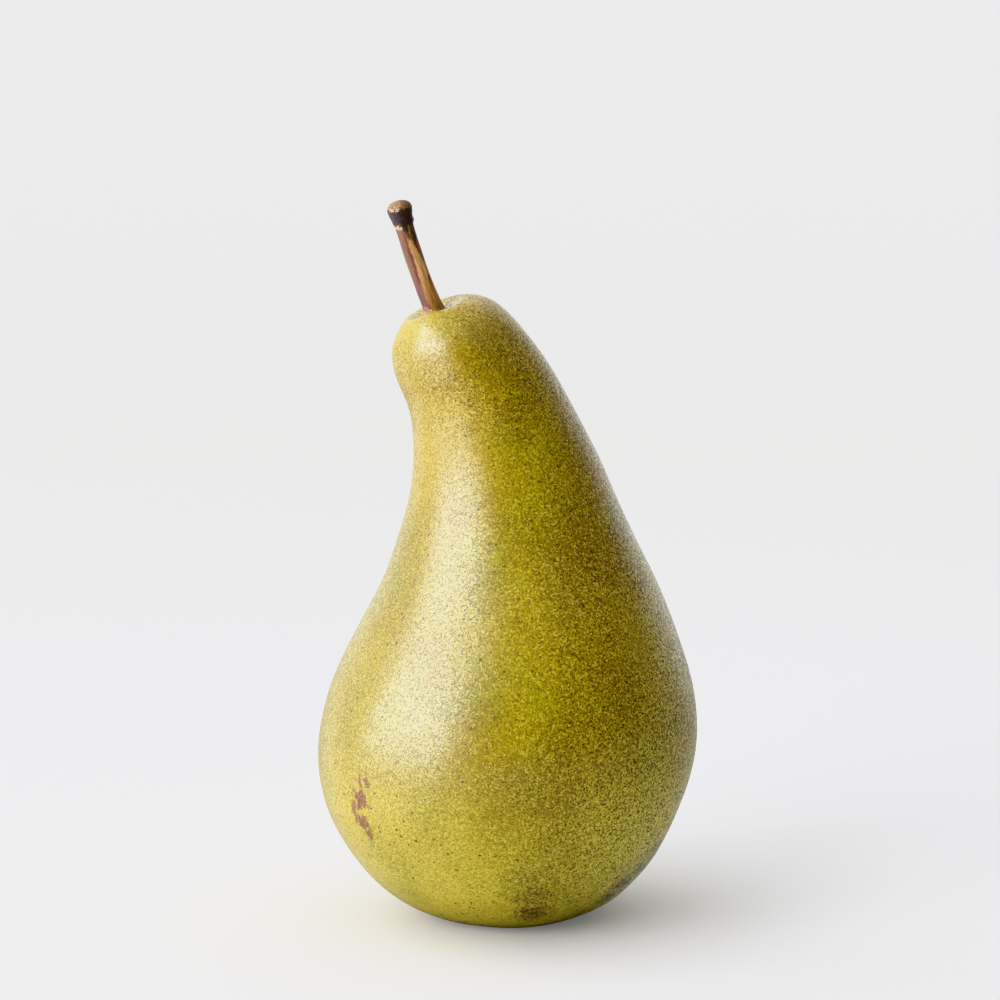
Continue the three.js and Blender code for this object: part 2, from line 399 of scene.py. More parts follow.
skinLook = {
    "olive": "9c8904",
    "golden": "9d8b0c",
    # lighter low down: partly paler skin, partly painted bounce light from the table
    "low": "b9aa36",
    "green": "8a9204",
    "brown": "7d6303",
    # painted bounce light: a lighter colour low on the right, where light from the table falls
    "lowRightBounceLight": "c5b93b",
    # lighter low on the left: partly paler skin, partly painted bounce light from the table
    "lowLeftPaleAndBounce": "c0ae40",
    "neck": "ad930f",
    "head": "bea52b",
    "darkSpot": "563c05",
    "lightSpot": "d6ca5e",
    "bloomLow": "a3a878",
    "bloomHigh": "d5dcd0",
    # painted contact shadow, low round the foot
    "foot": "5b4020",
    # noise: how many per metre, its detail, and the levels that become 0 and 1
    "greenClouds": (90.0, 3.0, 0.45, 0.75),
    "brownClouds": (48.0, 4.0, 0.42, 0.7),
    "grain": (3300.0, 3.0, 0.32, 0.68),
    "flakes": (1900.0, 3.0, 0.35, 0.65),
    # spots: how many per metre, the share that is there, radius and blur
    "freckles": (1500.0, 0.5, 0.36, 0.8),
    "lightSpots": (1200.0, 0.55, 0.2, 0.5),
    "darkSpots": (760.0, 0.6, 0.2, 0.5),
    "greenShare": 0.4,
    "brownShare": (0.45, 0.1),              # of the brown clouds, high up and low down
    "cellsPerMetre": 3500.0,
    "cellShare": 0.55,                      # of the small cells in the grain
    "grainDark": (0.18, 0.12, 0.04, 1),     # the grain multiplies the colour by these
    "grainLight": (1.86, 1.92, 2.1, 1),
    "grainSides": (-12, 26, 0.43, 1.45),    # from and to in mm, and the share of the way to them there
    "grainTop": (101, 107, 1.0, 0.55),
    "freckleShare": (0.4, 0.9),             # outside the brown clouds, and in them
    "glints": (0.72, 1.0, 0.0, 0.4),        # which cells glint, and how much
    "lightSpotShare": 0.75,
    "lightSides": (-14, 20, 0.7, 1.25),     # from and to in mm, and how strong spots and glints are there
    "darkSpotShare": 0.85,
    "markEdge": (0.45, 0.6),                # how soft a mark's edge is, and how ragged
    "markDark": (0.55, 0.52, 0.42, 1),      # the grain in the marks
    "markLight": (1.42, 1.46, 1.55, 1),
    "cloudEdge": (0.95, 0.25),
    "broken": (0.75, 0.3, 0.35, 1.0),       # what the grain leaves of a soft cloud
    "bloomShare": (0.45, 1.0),              # between the flakes, and on them
    "roughness": 0.43,
    "roughInBloom": 0.25,
    "smoothInGrain": 0.24,                  # how much smoother the light parts of the grain are
    "wax": (0.15, 0.85),                    # the grain where the thin, shiny wax begins, and is full
    "waxRoughness": 0.34,
    "spotRelief": 0.5,
}

# the zones of the skin: how strong, then where they begin and are full, in mm to the right (x) or up (z)
skinZones = {
    "golden": (1.0, ("x", 4, -24)),
    # the low zones lighten the underside: partly paler skin, partly painted bounce light from the table
    "low": (1.0, ("z", 32, 7)),
    "lowLeftPaleAndBounce": (0.6, ("z", 36, 20), ("x", -2, -13)),
    # painted bounce light low on the right
    "lowRightBounceLight": (0.8, ("z", 40, 16), ("x", 3, 18)),
    "neck": (0.75, ("z", 66, 86), ("x", 4, -8)),
    "head": (1.0, ("z", 101, 107), ("x", -8, -14)),
    "neckHaze": (0.3, ("z", 62, 96), ("x", -10, 4)),
    # browner on the right: partly the skin's own brown, partly painted shade on the side away from the window
    "rightHaze": (0.25, ("x", 2, 24)),
    # painted shade in a band along the edge of the window's light on the right
    "rightStreak": (0.4, ("x", 4, 12), ("x", 28, 17)),
    "headGrain": (0.6, ("z", 86, 98), ("x", -17, -6)),
    # painted contact shadow: the skin darkened just above the table
    "foot": (0.85, ("z", 2.0, 0.3)),
}

# the marks on the skin, by colour: centre and size in mm, then strength
skinMarks = {
    "84552a": (     # russet blots low on the left, and small ones further up
        ((-25.6, -22.3, 25.9), (2.1, 2.5, 2.5), 1.0),
        ((-25.7, -22.8, 28.5), (0.6, 0.8, 1.7), 0.9),
        ((-24.3, -24.1, 28.9), (0.7, 0.8, 1.9), 0.9),
        ((-26.8, -20.3, 23.8), (0.7, 1.0, 1.8), 0.85),
        ((-26.2, -20.3, 22.0), (0.6, 0.8, 1.4), 0.75),
        ((-25.0, -21.3, 21.3), (1.4, 1.7, 1.9), 0.95),
        ((-24.2, -21.7, 19.4), (1.1, 1.5, 2.0), 0.95),
        ((-24.1, -17.8, 14.9), (0.5, 0.8, 1.8), 0.4),
        ((-16.1, -14.8, 63.1), (0.6, 0.6, 1.2), 0.6),
        ((-15.2, -14.9, 64.7), (0.3, 0.3, 1.3), 0.45),
        ((-18.2, -16.7, 57.1), (0.6, 0.6, 1.3), 0.65),
        ((-17.6, -16.2, 58.6), (0.5, 0.5, 0.8), 0.5),
        ((-26.5, -5.9, 51.5), (0.5, 0.8, 1.0), 0.45),
        ((-27.4, -5.3, 49.8), (0.5, 0.8, 0.9), 0.45),
        ((-29.8, -7.2, 44.1), (0.5, 0.8, 0.9), 0.35),
    ),
}

# soft ones, which the grain breaks up
skinClouds = {
    "563a17": (     # the rubbed patch near the foot, and the haze over it
        ((4.4, -22.0, 5.2), (5.0, 7.0, 4.4), 1.5),
        ((4.4, -25.5, 9.0), (5.4, 7.0, 5.0), 0.85),
        ((2.6, -27.0, 13.0), (6.5, 7.0, 5.5), 0.45),
        ((-0.8, -26.2, 9.8), (1.8, 1.8, 0.8), 0.4),
    ),
    "4c3018": (     # the browned edge low on the right
        ((14.0, -15.5, 3.2), (5.0, 5.0, 2.0), 1.0),
        ((17.9, -13.6, 5.9), (5.0, 5.0, 3.0), 1.3),
        ((20.7, -13.2, 8.4), (4.8, 5.0, 3.2), 1.3),
        ((23.4, -11.8, 11.0), (4.2, 5.0, 3.4), 0.95),
        ((25.9, -10.2, 14.0), (3.6, 4.4, 3.4), 0.8),
    ),
    "8f7f0a": (     # olive and lime dabs
        ((22.8, -18.5, 52.5), (6.0, 6.5, 10.0), 0.35),
    ),
    "a3a106": (
        ((-1.8, -20.7, 68.5), (1.2, 1.4, 2.6), 0.4),
        ((2.3, -22.4, 64.7), (1.3, 1.4, 2.6), 0.4),
        ((5.5, -30.8, 45.1), (3.6, 4.0, 5.5), 0.25),
    ),
    "a9772a": (     # an orange tint on the left of the head and of the neck
        ((-18.4, -7.9, 97.5), (4.6, 6.0, 8.0), 0.2),
        ((-13.1, -15.5, 67.6), (3.2, 3.4, 4.6), 0.14),
    ),
    "b18c22": (     # a lighter brown on the front of the head
        ((-8.0, -15.0, 102.5), (7.5, 8.0, 6.5), 0.5),
        ((-3.5, -15.0, 98.5), (6.0, 7.5, 7.0), 0.3),
    ),
    "4a3413": (     # and dark specks on it
        ((-4.0, -14.0, 103.0), (8.0, 9.0, 7.0), 0.4),
        ((1.5, -15.0, 92.0), (7.0, 8.0, 11.0), 0.3),
    ),
}

# the pale bloom in and round the hollow at the stem
bloomMarks = (
    ((-12.4, -3.8, 108.2), (4.6, 5.0, 2.4), 0.9),
    ((-9.6, -3.0, 110.0), (2.6, 4.0, 1.8), 0.7),
    ((-15.6, -3.0, 108.6), (2.2, 4.0, 1.5), 0.7),
)


def shapeHead(shape, vertex):
    # the head stands out a little in front and is flatter on its front left side
    head, lip = shape["head"], shape["lip"]
    x, y, z = vertex.co / mm
    up = z - head["middle"][2]
    across = x - head["middle"][0] - head["lean"][0] * up
    depth = y - head["middle"][1] - head["lean"][1] * up
    turn = math.degrees(math.atan2(-across, -depth))
    weight = smoothStep(*head["bottom"], z) * (1 - smoothStep(*head["top"], z))
    weight *= smoothStep(*head["right"], turn) * (1 - smoothStep(*head["left"], turn))
    wave = math.cos(math.pi * (turn - head["most"]) / head["leastAfter"])
    move = head["height"] * weight * wave / math.hypot(across, depth)
    vertex.co += Vector((across * move, depth * move, 0))
    # the rim of the hollow is higher in front of the stem
    reach = math.hypot(x - lip["place"][0], y - lip["place"][1]) / lip["width"]
    vertex.co.z += lip["height"] * math.exp(-reach * reach) * smoothStep(*lip["above"], z)


def makeFruit(shape):
    piece = bpy.data.objects.new("pearFruit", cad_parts["fruit"].data.copy())
    bpy.context.scene.collection.objects.link(piece)
    pick(piece)
    bpy.ops.object.mode_set(mode="EDIT")
    bpy.ops.mesh.select_all(action="SELECT")
    bpy.ops.mesh.remove_doubles(threshold=shape["weld"])
    bpy.ops.mesh.tris_convert_to_quads(face_threshold=math.radians(60), shape_threshold=math.radians(60))
    bpy.ops.object.mode_set(mode="OBJECT")
    levels = shape["subdivisions"]
    addModifier(piece, "SUBSURF", levels=levels, render_levels=levels)
    sizes = piece.vertex_groups.new(name="dents")
    footLow, footHigh = shape["footKeep"]
    topLow, topHigh = shape["topKeep"]
    for vertex in piece.data.vertices:
        height = vertex.co.z
        weight = smoothStep(footLow, footHigh, height) * (1 - smoothStep(topLow, topHigh, height))
        sizes.add([vertex.index], weight, "REPLACE")
    for vertex in piece.data.vertices:
        shapeHead(shape, vertex)
    clouds = bpy.data.textures.new("softDents", "CLOUDS")
    clouds.noise_scale = shape["dentSize"]
    clouds.noise_depth = 1
    addModifier(
        piece, "DISPLACE", texture=clouds, strength=shape["dentHeight"], mid_level=0.5,
        vertex_group="dents", texture_coords="LOCAL",
    )
    bpy.ops.object.shade_smooth()
    return piece


def allMarks(tree, where, marks, edge, ragged):
    together = 0.0
    for centre, size, strength in marks:
        mark = placeGroup(tree, patch, {
            "Vector": where, "Centre": Vector(centre) * mm, "Size": Vector(size) * mm,
            "Edge": edge, "Ragged": ragged, "Ragged Per Metre": 1300.0,
        })
        together = calc(tree, "MAXIMUM", calc(tree, "MULTIPLY", mark, strength), together)
    return together


def makeSkin(look):
    material, tree, shader = newMaterial("pearSkin")
    where = addNode(tree, "TexCoord").outputs["Object"]
    axes = dict(zip("xyz", addNode(tree, "SeparateXYZ", {0: where}).outputs))

    def times(first, second):
        return calc(tree, "MULTIPLY", first, second)

    def between(axis, begins, full, low=0.0, high=1.0):
        # a value that goes from low to high between these places on the axis, in mm
        return remap(tree, axes[axis], begins * mm, full * mm, low, high)

    def zone(name):
        mask, *stretches = skinZones[name]
        for stretch in stretches:
            mask = times(between(*stretch), mask)
        return mask

    def paint(ground, mask, name):
        return mixColours(tree, mask, ground, tint(look[name]))

    # golden on the window's side, lighter low down (partly paler skin and partly painted bounce light from
    # the table), browner up the neck, with green and brown clouds
    colour = paint(tint(look["olive"]), zone("golden"), "golden")
    for name in ("low", "lowLeftPaleAndBounce", "neck", "head"):
        colour = paint(colour, zone(name), name)
    greenClouds = mottled(tree, where, look["greenClouds"])
    colour = paint(colour, times(greenClouds, look["greenShare"]), "green")
    brownClouds = mottled(tree, where, look["brownClouds"])
    brownHazeAndShade = times(brownClouds, remap(tree, zone("low"), 0.0, 1.0, *look["brownShare"]))
    # the brown also paints shade: over the right side, and in a band where the window's light ends
    for name in ("neckHaze", "rightHaze", "rightStreak"):
        brownHazeAndShade = calc(tree, "ADD", brownHazeAndShade, zone(name))
    colour = paint(colour, brownHazeAndShade, "brown")
    # painted bounce light: the low right side made lighter
    colour = paint(colour, zone("lowRightBounceLight"), "lowRightBounceLight")

    # the fine grain, half noise and half small cells, stronger on the right and on the head
    cells = addNode(tree, "TexVoronoi", {"Vector": where, "Scale": look["cellsPerMetre"]}).outputs["Color"]
    chance = addNode(tree, "SeparateColor", {0: cells}).outputs[0]
    grain = mixColours(tree, look["cellShare"], mottled(tree, where, look["grain"]), chance)
    share = calc(tree, "ADD", between("x", *look["grainSides"]), zone("headGrain"))
    share = times(share, between("z", *look["grainTop"]))
    contrast = times(calc(tree, "SUBTRACT", grain, 0.5), share)
    grainColour = mixColours(tree, calc(tree, "ADD", contrast, 0.5), look["grainDark"], look["grainLight"])
    colour = mixColours(tree, 1.0, colour, grainColour, "MULTIPLY")

    # small spots: brown freckles, light spots and glints, and dark spots
    freckles = spotted(tree, where, look["freckles"])
    freckles = times(freckles, remap(tree, brownClouds, 0.0, 1.0, *look["freckleShare"]))
    colour = paint(colour, freckles, "brown")
    lightSpots = spotted(tree, where, look["lightSpots"])
    glints = remap(tree, chance, *look["glints"])
    light = calc(tree, "MAXIMUM", times(lightSpots, look["lightSpotShare"]), glints)
    colour = paint(colour, times(light, between("x", *look["lightSides"])), "lightSpot")
    darkSpots = spotted(tree, where, look["darkSpots"])
    colour = paint(colour, times(darkSpots, look["darkSpotShare"]), "darkSpot")

    # soft clouds, which the grain breaks up, then sharper marks with the grain in them
    broken = remap(tree, grain, *look["broken"])
    for markColour, marks in skinClouds.items():
        mask = times(allMarks(tree, where, marks, *look["cloudEdge"]), broken)
        colour = mixColours(tree, mask, colour, tint(markColour))
    grainInMarks = mixColours(tree, grain, look["markDark"], look["markLight"])
    for markColour, marks in skinMarks.items():
        inside = mixColours(tree, 1.0, tint(markColour), grainInMarks, "MULTIPLY")
        colour = mixColours(tree, allMarks(tree, where, marks, *look["markEdge"]), colour, inside)

    # the bloom in flakes round the hollow, and a painted contact shadow: the foot darkened where it meets the
    # table
    bloom = allMarks(tree, where, bloomMarks, *look["markEdge"])
    flakes = mottled(tree, where, look["flakes"])
    flaky = times(bloom, remap(tree, flakes, 0.0, 1.0, *look["bloomShare"]))
    bloomColour = mixColours(tree, flakes, tint(look["bloomLow"]), tint(look["bloomHigh"]))
    colour = mixColours(tree, flaky, colour, bloomColour)
    colour = paint(colour, times(zone("foot"), broken), "foot")

    tree.links.new(colour, shader.inputs["Base Color"])
    rough = calc(tree, "ADD", times(grain, -look["smoothInGrain"]), look["roughness"])
    rough = calc(tree, "ADD", rough, times(bloom, look["roughInBloom"]))
    tree.links.new(rough, shader.inputs["Roughness"])
    tree.links.new(remap(tree, grain, *look["wax"]), shader.inputs["Coat Weight"])
    shader.inputs["Coat Roughness"].default_value = look["waxRoughness"]
    shader.inputs["IOR"].default_value = 1.5
    shader.inputs["Specular IOR Level"].default_value = 0.5
    relief = calc(tree, "ADD", grain, times(lightSpots, look["spotRelief"]))
    bump = addNode(tree, "Bump", {"Height": relief, "Strength": 0.6, "Distance": 0.055 * mm})
    tree.links.new(bump.outputs[0], shader.inputs["Normal"])
    return material


fruit = makeFruit(fruitShape)
fruit.data.materials.clear()
fruit.data.materials.append(makeSkin(skinLook))
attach(fruit, "root")
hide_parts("fruit")
print("fruit made")


# The stem: turned straight up first, then bent along its line

stemShape = {
    # the line that it follows, all sizes here in mm
    "root": (-10.786, -3.170, 104.633),
    "bend": (-16.25, -5.322, 116.465),
    "tip": (-19.100, -6.196, 128.496),
    "length": 25.53,
    "sides": 48,
    "shaftStep": 0.4,
    "knobStep": 0.16,
    "knobFrom": 22.6,
    # distance from the root, radius
    "profile": (
        (0.0, 1.5), (0.6, 1.72), (2.6, 1.86), (3.9, 2.05), (4.6, 1.92), (6.0, 1.78), (7.5, 1.7), (13.0, 1.62),
        (19.4, 1.63), (20.8, 1.66), (22.0, 1.78), (22.8, 1.95), (23.4, 2.12), (23.8, 2.22), (24.2, 2.2),
        (24.6, 2.0), (24.95, 1.7), (25.2, 1.36), (25.38, 0.94), (25.48, 0.45), (25.5, 0.2),
    ),
    "fibre": 0.07,
    "sway": 0.07,
    "knobLumps": 0.11,
    "collarEdge": 21.0,
    "collarThickness": 0.09,
    # a small lump at the right of the collar, its size along the stem, and its turn in radians
    "burl": {"along": 21.6, "size": 0.42, "turn": 0.3, "height": 0.3},
    "grooveAt": -0.22,      # a groove down the front, as a share of the radius to the right
    "grooveWidth": 0.09,
    "grooveDepth": 0.07,
    "grooveBegins": (9, 12),
    "grooveEnds": (18, 20),
    "footAt": 4.4,          # low ribs round the foot
    "footSpread": 0.9,
    "footRibs": ((5, 0.6, 0.06), (3, 2.2, 0.05)),   # how many, their turn in radians, their height
    "knobRise": (23.1, 23.7),
}


def onLine(points, value):
    # straight stretches between (place, size) points
    for (start, first), (end, last) in zip(points, points[1:]):
        if value <= end:
            return first + (last - first) * (value - start) / (end - start)
    return points[-1][1]


def stemFrame(shape, share):
    # the place and the ways to the right, to the back and along, part of the way up the stem's line
    root, bend, tip = (Vector(shape[name]) * mm for name in ("root", "bend", "tip"))
    place = root.lerp(bend, share).lerp(bend.lerp(tip, share), share)
    along = (bend.lerp(tip, share) - root.lerp(bend, share)).normalized()
    right = Vector((0, 1, 0)).cross(along).normalized()
    back = along.cross(right)
    return place, right, back


def stemSwell(shape, along, angle):
    # how far the bark stands out of the plain round stem at this place, in mm
    right, back = math.cos(angle), math.sin(angle)
    swell = shape["fibre"] * noise.noise(Vector((right * 2.6, back * 2.6, along * 0.16)))
    swell += shape["sway"] * noise.noise(Vector((right * 0.9, back * 0.9, along * 0.3 + 40)))
    knob = smoothStep(*shape["knobRise"], along)
    swell += shape["knobLumps"] * knob * noise.noise(Vector((right * 3.2, back * 3.2, along * 1.9)))
    edge = shape["collarEdge"] + 0.5 * noise.noise(Vector((right * 1.7, back * 1.7, 3.0)))
    swell += shape["collarThickness"] * smoothStep(edge - 0.15, edge + 0.15, along) * (1 - knob)
    burl = shape["burl"]
    turned = angle if angle < math.pi else angle - 2 * math.pi
    reach = math.hypot((along - burl["along"]) / burl["size"], turned / burl["turn"])
    swell += burl["height"] * math.exp(-reach * reach * 2)
    if back < 0:
        groove = math.exp(-((right - shape["grooveAt"]) / shape["grooveWidth"]) ** 2)
        groove *= smoothStep(*shape["grooveBegins"], along) * (1 - smoothStep(*shape["grooveEnds"], along))
        swell -= shape["grooveDepth"] * groove
    foot = math.exp(-((along - shape["footAt"]) / shape["footSpread"]) ** 2)
    for count, turn, height in shape["footRibs"]:
        swell += foot * height * math.cos(count * angle + turn)
    return swell


def makeStem(shape):
    clearSelection()
    bpy.ops.mesh.primitive_circle_add(
        vertices=shape["sides"], radius=shape["profile"][0][1] * mm, fill_type="NGON", location=(0, 0, 0),
    )
    piece = bpy.context.object
    piece.name = "pearStem"
    bpy.ops.object.mode_set(mode="EDIT")
    bpy.ops.mesh.select_all(action="SELECT")
    reached, top = 0.0, shape["profile"][-1][0]
    while reached < top - 0.01:
        step = shape["shaftStep"] if reached < shape["knobFrom"] else shape["knobStep"]
        following = min(top, reached + step)
        bpy.ops.mesh.extrude_region_move(TRANSFORM_OT_translate={"value": (0, 0, (following - reached) * mm)})
        ratio = onLine(shape["profile"], following) / onLine(shape["profile"], reached)
        bpy.ops.transform.resize(value=(ratio, ratio, 1), center_override=(0, 0, following * mm))
        reached = following
    bpy.ops.mesh.select_all(action="SELECT")
    bpy.ops.mesh.normals_make_consistent(inside=False)
    bpy.ops.object.mode_set(mode="OBJECT")

    straight = piece.data.attributes.new("straight", "FLOAT_VECTOR", "POINT")   # for the grain of the bark
    for vertex, place in zip(piece.data.vertices, straight.data):
        along = vertex.co.z / mm
        radius = math.hypot(vertex.co.x, vertex.co.y) / mm
        angle = math.atan2(vertex.co.y, vertex.co.x) % (2 * math.pi)
        if radius > 0.3:
            radius += stemSwell(shape, along, angle)
        across, depth = radius * math.cos(angle), radius * math.sin(angle)
        place.vector = (across, depth, along)
        middle, right, back = stemFrame(shape, along / shape["length"])
        vertex.co = middle + right * across * mm + back * depth * mm
    addModifier(piece, "SUBSURF", levels=1, render_levels=1)
    bpy.ops.object.shade_smooth()
    return piece


stemLook = {
    "left": "7f5541",
    "leftEdge": "776244",
    "middle": "7d5237",
    "gold": "c79a66",
    "low": "a87b47",
    "right": "865a40",
    "redLine": "6a301e",
    # dark lines in the bark, and painted shade below the collar
    "darkLineAndShade": "46301f",
    "plum": "70484c",
    "wedge": "7d6045",
    "collar": "35271f",
    "collarSheen": "4b3e42",
    "scar": "d4bc94",
    "knob": "b38658",
    # the knob's dark crust, and painted shade on its right
    "knobDarkAndShade": "50392a",
    "tooth": "f0dccb",
    "flare": "d2a377",
    # noise: how many per mm here, its detail, and the levels that become 0 and 1
    "fibres": (2.6, 4.0, 0.3, 0.7),
    "waver": (0.55, 3.0, 0.2, 0.8),
    "flecks": (3.2, 3.0, 0.35, 0.65),
    "wrinkles": (1.4, 3.0, 0.3, 0.7),
    "crumbs": (5.5, 3.0, 0.35, 0.65),
}


def makeStemWood(look):
    material, tree, shader = newMaterial("stemBark")
    barkPlace = addNode(tree, "Attribute", attribute_name="straight", attribute_type="GEOMETRY")
    straight = barkPlace.outputs["Vector"]      # in mm
    stretched = addNode(tree, "Mapping", {"Vector": straight, "Scale": (1.0, 1.0, 0.14)}).outputs[0]
    fibres = mottled(tree, stretched, look["fibres"])
    waver = mottled(tree, straight, look["waver"])
    flecks = mottled(tree, straight, look["flecks"])
    plainAcross, _, plainAlong = addNode(tree, "SeparateXYZ", {0: straight}).outputs
    across = calc(tree, "ADD", plainAcross, remap(tree, waver, 0.0, 1.0, -0.16, 0.16))
    along = calc(tree, "ADD", plainAlong, remap(tree, flecks, 0.0, 1.0, -0.22, 0.22))

    def band(value, low, high, blur):
        up = remap(tree, value, low - blur, low + blur)
        down = remap(tree, value, high + blur, high - blur)
        return calc(tree, "MULTIPLY", up, down)

    def both(first, second):
        return calc(tree, "MULTIPLY", first, second)

    def slanted(height, place, slope):
        # across, measured from a line that leans over by slope for each mm down from this height
        moved = calc(tree, "MULTIPLY", calc(tree, "SUBTRACT", height, along), slope)
        return calc(tree, "SUBTRACT", calc(tree, "SUBTRACT", across, place), moved)

    def paint(ground, mask, share, name):
        return mixColours(tree, both(mask, share), ground, tint(look[name]))

    # the shaft: a pinkish left side, a gold streak down the middle and a brown right side
    colour = mixColours(tree, remap(tree, across, -0.75, -0.25), tint(look["left"]), tint(look["middle"]))
    leftEdge = both(remap(tree, across, -1.15, -1.5), band(along, 12.5, 17.5, 1.5))
    colour = paint(colour, leftEdge, 0.7, "leftEdge")
    colour = paint(colour, remap(tree, across, 0.8, 1.3), 1.0, "right")
    lean = remap(tree, along, 11.0, 8.0, 0.0, -0.3)
    goldLow = calc(tree, "SUBTRACT", lean, 0.14)
    goldHigh = calc(tree, "ADD", remap(tree, along, 17.8, 13.5, 0.75, 1.3), lean)
    gold = remap(tree, calc(tree, "SUBTRACT", across, goldLow), -0.15, 0.15)
    gold = both(gold, remap(tree, calc(tree, "SUBTRACT", across, goldHigh), 0.12, -0.12))
    colour = paint(colour, both(gold, band(along, 6.8, 18.4, 0.9)), 1.0, "gold")
    colour = paint(colour, both(remap(tree, along, 13.0, 8.0), remap(tree, across, -0.5, 0.1)), 0.75, "low")
    colour = paint(colour, both(band(along, 4.8, 9.5, 1.6), remap(tree, across, -0.5, -1.1)), 0.8, "plum")
    colour = paint(colour, both(remap(tree, across, 1.2, 1.6), remap(tree, along, 8.0, 12.0)), 0.6, "plum")
    redLine = both(band(across, -0.55, -0.2, 0.16), band(along, 10.5, 19.0, 1.2))
    colour = paint(colour, redLine, 0.75, "redLine")
    seam = both(band(slanted(17.2, 0.95, 0.15), -0.12, 0.1, 0.09), band(along, 12.6, 18.0, 0.8))
    colour = paint(colour, seam, 0.7, "darkLineAndShade")

    # a tan wedge under the collar, between two dark lines that meet below it, with painted shade to its right
    # below the collar
    wedgeLine = slanted(20.0, 0.22, 0.28)
    wedge = both(remap(tree, wedgeLine, -0.06, 0.1), band(along, 18.2, 21.4, 0.3))
    colour = paint(colour, wedge, 1.0, "wedge")
    edges = both(band(wedgeLine, -0.16, 0.06, 0.08), band(along, 17.9, 20.2, 0.3))
    # painted shade on the right, below the collar
    shade = both(remap(tree, slanted(20.0, 0.72, 0.0), -0.1, 0.12), band(along, 18.2, 20.6, 0.35))
    tip = both(band(along, 17.7, 18.3, 0.25), band(across, 0.6, 1.25, 0.2))
    colour = paint(colour, calc(tree, "MAXIMUM", calc(tree, "MAXIMUM", edges, shade), tip), 0.85, "darkLineAndShade")
    streaks = mixColours(tree, fibres, (0.76, 0.71, 0.65, 1), (1.24, 1.27, 1.3, 1))
    colour = mixColours(tree, 1.0, colour, streaks, "MULTIPLY")

    # the foot: pale on the left, with one paler strand, and dark dots on the right
    colour = paint(colour, both(band(along, 3.4, 5.6, 0.4), remap(tree, across, -0.1, -0.6)), 0.9, "flare")
    strand = both(band(slanted(6.3, -1.25, 0.95), -0.09, 0.09, 0.08), band(along, 4.6, 6.4, 0.2))
    colour = paint(colour, strand, 0.8, "tooth")
    dots = both(band(along, 3.5, 5.6, 0.5), remap(tree, across, 0.1, 0.6))
    dots = both(dots, remap(tree, flecks, 0.42, 0.2))
    colour = paint(colour, dots, 0.8, "darkLineAndShade")

    # the scar, the dark collar with its smear, and the cut knob
    level = calc(tree, "ADD", along, calc(tree, "MULTIPLY", across, 0.28))      # level in the photo
    colour = paint(colour, both(band(level, 20.3, 20.85, 0.1), remap(tree, across, -0.3, -0.5)), 1.0, "scar")
    smear = both(band(level, 20.0, 21.4, 0.2), band(across, -0.3, 0.4, 0.12))
    collar = calc(tree, "MAXIMUM", remap(tree, level, 20.9, 21.2), smear)
    colour = paint(colour, collar, 1.0, "collar")
    colour = paint(colour, both(collar, remap(tree, across, -0.5, -1.0)), 0.5, "collarSheen")
    squeezed = addNode(tree, "Mapping", {"Vector": straight, "Scale": (0.5, 0.5, 3.0)}).outputs[0]
    wrinkles = mottled(tree, squeezed, look["wrinkles"])
    wrinkles = mixColours(tree, wrinkles, (0.55, 0.5, 0.48, 1), (1.35, 1.35, 1.35, 1))
    colour = mixColours(tree, collar, colour, mixColours(tree, 1.0, colour, wrinkles, "MULTIPLY"))
    knobLevel = calc(tree, "ADD", plainAlong, calc(tree, "MULTIPLY", plainAcross, 0.08))
    knob = remap(tree, calc(tree, "ADD", knobLevel, both(flecks, 0.25)), 24.1, 24.3)
    crumbs = mottled(tree, straight, look["crumbs"])
    # the knob darkens towards its right: partly its dark crust, partly painted shade on the side away from
    # the window
    dark = remap(tree, across, -0.2, 1.1, 0.0, 0.75)
    dark = calc(tree, "ADD", remap(tree, crumbs, 0.55, 0.1), dark, clamp=True)
    pale = remap(tree, crumbs, 0.7, 1.0, 0.0, 0.25)
    crust = mixColours(tree, pale, tint(look["knob"]), tint(look["tooth"]))
    crust = mixColours(tree, calc(tree, "MULTIPLY", dark, 0.8), crust, tint(look["knobDarkAndShade"]))
    colour = mixColours(tree, knob, colour, crust)
    ridges = calc(tree, "SINE", calc(tree, "MULTIPLY", slanted(24.0, 0.0, -0.7), 13.0))
    strokes = remap(tree, ridges, -0.2, 0.5)
    teeth = both(band(knobLevel, 23.75, 24.3, 0.12), band(across, -1.75, -0.1, 0.15))
    gaps = both(teeth, calc(tree, "SUBTRACT", 1.0, strokes))
    colour = paint(paint(colour, gaps, 0.75, "knobDarkAndShade"), both(teeth, strokes), 0.9, "tooth")

    tree.links.new(colour, shader.inputs["Base Color"])
    rough = calc(tree, "ADD", calc(tree, "MULTIPLY", knob, 0.35), calc(tree, "MULTIPLY", fibres, 0.12))
    tree.links.new(calc(tree, "ADD", rough, 0.34), shader.inputs["Roughness"])
    relief = calc(tree, "ADD", fibres, calc(tree, "MULTIPLY", both(flecks, knob), 1.5))
    bump = addNode(tree, "Bump", {"Height": relief, "Strength": 0.6, "Distance": 0.06 * mm})
    tree.links.new(bump.outputs[0], shader.inputs["Normal"])
    return material


stem = makeStem(stemShape)
stem.data.materials.append(makeStemWood(stemLook))
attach(stem, "root")
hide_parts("stem")
print("stem made")


# The calyx: the dried flower in the hollow underneath

